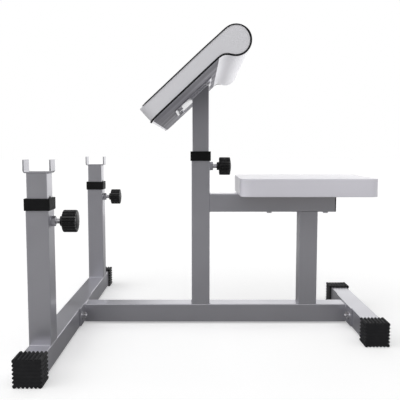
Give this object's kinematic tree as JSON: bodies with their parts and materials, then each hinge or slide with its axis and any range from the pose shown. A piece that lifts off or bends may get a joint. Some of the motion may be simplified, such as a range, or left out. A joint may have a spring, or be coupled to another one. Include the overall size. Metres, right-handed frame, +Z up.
{
  "type": "preacher curl bench",
  "caption": "Preacher curl bench: square-tube frame, fixed padded seat, sloped arm pad on a telescoping mast, and a telescoping bar rack locked by threaded knobs.",
  "frame": {"origin": "on the floor at the middle of the base's bounding box, in the bench's plane of symmetry", "axes": "+X along the base beam from the bar rack to the seat, +Y across the bench, +Z up"},
  "size_m": [0.8588, 0.92, 0.7692],
  "materials": {
    "frame_paint": "satin",
    "sliding_paint": "satin",
    "zinc": "satin",
    "rubber": "matte",
    "black_plastic": "satin",
    "vinyl": "satin",
    "board": "matte"
  },
  "bodies": {
    "frame": {"base_beam": "frame_paint", "front_flange_plate": "frame_paint", "rear_flange_plate": "frame_paint", "front_crossbar": "frame_paint", "rear_crossbar": "frame_paint", "flange_bolts": "zinc", "flange_washers": "zinc", "flange_nuts": "zinc", "front_left_foot": "rubber", "front_right_foot": "rubber", "rear_left_foot": "rubber", "rear_right_foot": "rubber", "left_upright": "frame_paint", "right_upright": "frame_paint", "lower_mast": "frame_paint", "seat_post": "frame_paint", "seat_tube": "frame_paint", "seat_tube_end_cap": "black_plastic", "left_collar": "black_plastic", "right_collar": "black_plastic", "mast_collar": "black_plastic", "lock_bosses": "frame_paint", "seat_board": "board", "seat_cushion": "vinyl", "seat_bolts": "zinc", "seat_washers": "zinc", "seat_tee_nuts": "zinc"},
    "left_rack": {"left_rack_tube": "sliding_paint", "left_rack_plug": "black_plastic", "left_bar_catch": "sliding_paint"},
    "right_rack": {"right_rack_tube": "sliding_paint", "right_rack_plug": "black_plastic", "right_bar_catch": "sliding_paint"},
    "arm_rest": {"upper_mast_tube": "sliding_paint", "upper_mast_plug": "black_plastic", "arm_pad_bracket": "sliding_paint", "arm_pad_bolts": "zinc", "arm_pad_washers": "zinc", "arm_pad_tee_nuts": "zinc", "arm_pad_board": "board", "arm_pad_cushion": "vinyl"},
    "left_pin": {"left_lock_pin": "zinc"},
    "right_pin": {"right_lock_pin": "zinc"},
    "mast_pin": {"mast_lock_pin": "zinc"},
    "left_turn_knob": {"left_knob": "black_plastic"},
    "right_turn_knob": {"right_knob": "black_plastic"},
    "mast_turn_knob": {"mast_knob": "black_plastic"}
  },
  "joints": [
    {"name": "left_rack_height", "type": "slide", "parent": "frame", "child": "left_rack", "axis": [0, 0, 1], "range_m": [-0.05, 0.15]},
    {"name": "right_rack_height", "type": "slide", "parent": "frame", "child": "right_rack", "axis": [0, 0, 1], "range_m": [-0.05, 0.15]},
    {"name": "arm_rest_height", "type": "slide", "parent": "frame", "child": "arm_rest", "axis": [0, 0, 1], "range_m": [-0.1, 0.15]},
    {"name": "left_pin_travel", "type": "slide", "parent": "frame", "child": "left_pin", "axis": [1, 0, 0], "range_m": [-0.008, 0.002]},
    {"name": "left_knob_turn", "type": "hinge", "parent": "left_pin", "child": "left_turn_knob", "pos_m": [-0.396, -0.336, 0.3302], "axis": [1, 0, 0], "range_deg": [-1620, 360]},
    {"name": "right_pin_travel", "type": "slide", "parent": "frame", "child": "right_pin", "axis": [1, 0, 0], "range_m": [-0.008, 0.002]},
    {"name": "right_knob_turn", "type": "hinge", "parent": "right_pin", "child": "right_turn_knob", "pos_m": [-0.396, 0.336, 0.3302], "axis": [1, 0, 0], "range_deg": [-1620, 360]},
    {"name": "mast_pin_travel", "type": "slide", "parent": "frame", "child": "mast_pin", "axis": [1, 0, 0], "range_m": [-0.008, 0.002]},
    {"name": "mast_knob_turn", "type": "hinge", "parent": "mast_pin", "child": "mast_turn_knob", "pos_m": [-0.041, 0, 0.4426], "axis": [1, 0, 0], "range_deg": [-1620, 360]}
  ],
  "couplings": [
    {"joint": "left_pin_travel", "follows": "left_knob_turn", "m_per_rad": 0.00027852},
    {"joint": "right_pin_travel", "follows": "right_knob_turn", "m_per_rad": 0.00027852},
    {"joint": "mast_pin_travel", "follows": "mast_knob_turn", "m_per_rad": 0.00027852}
  ]
}
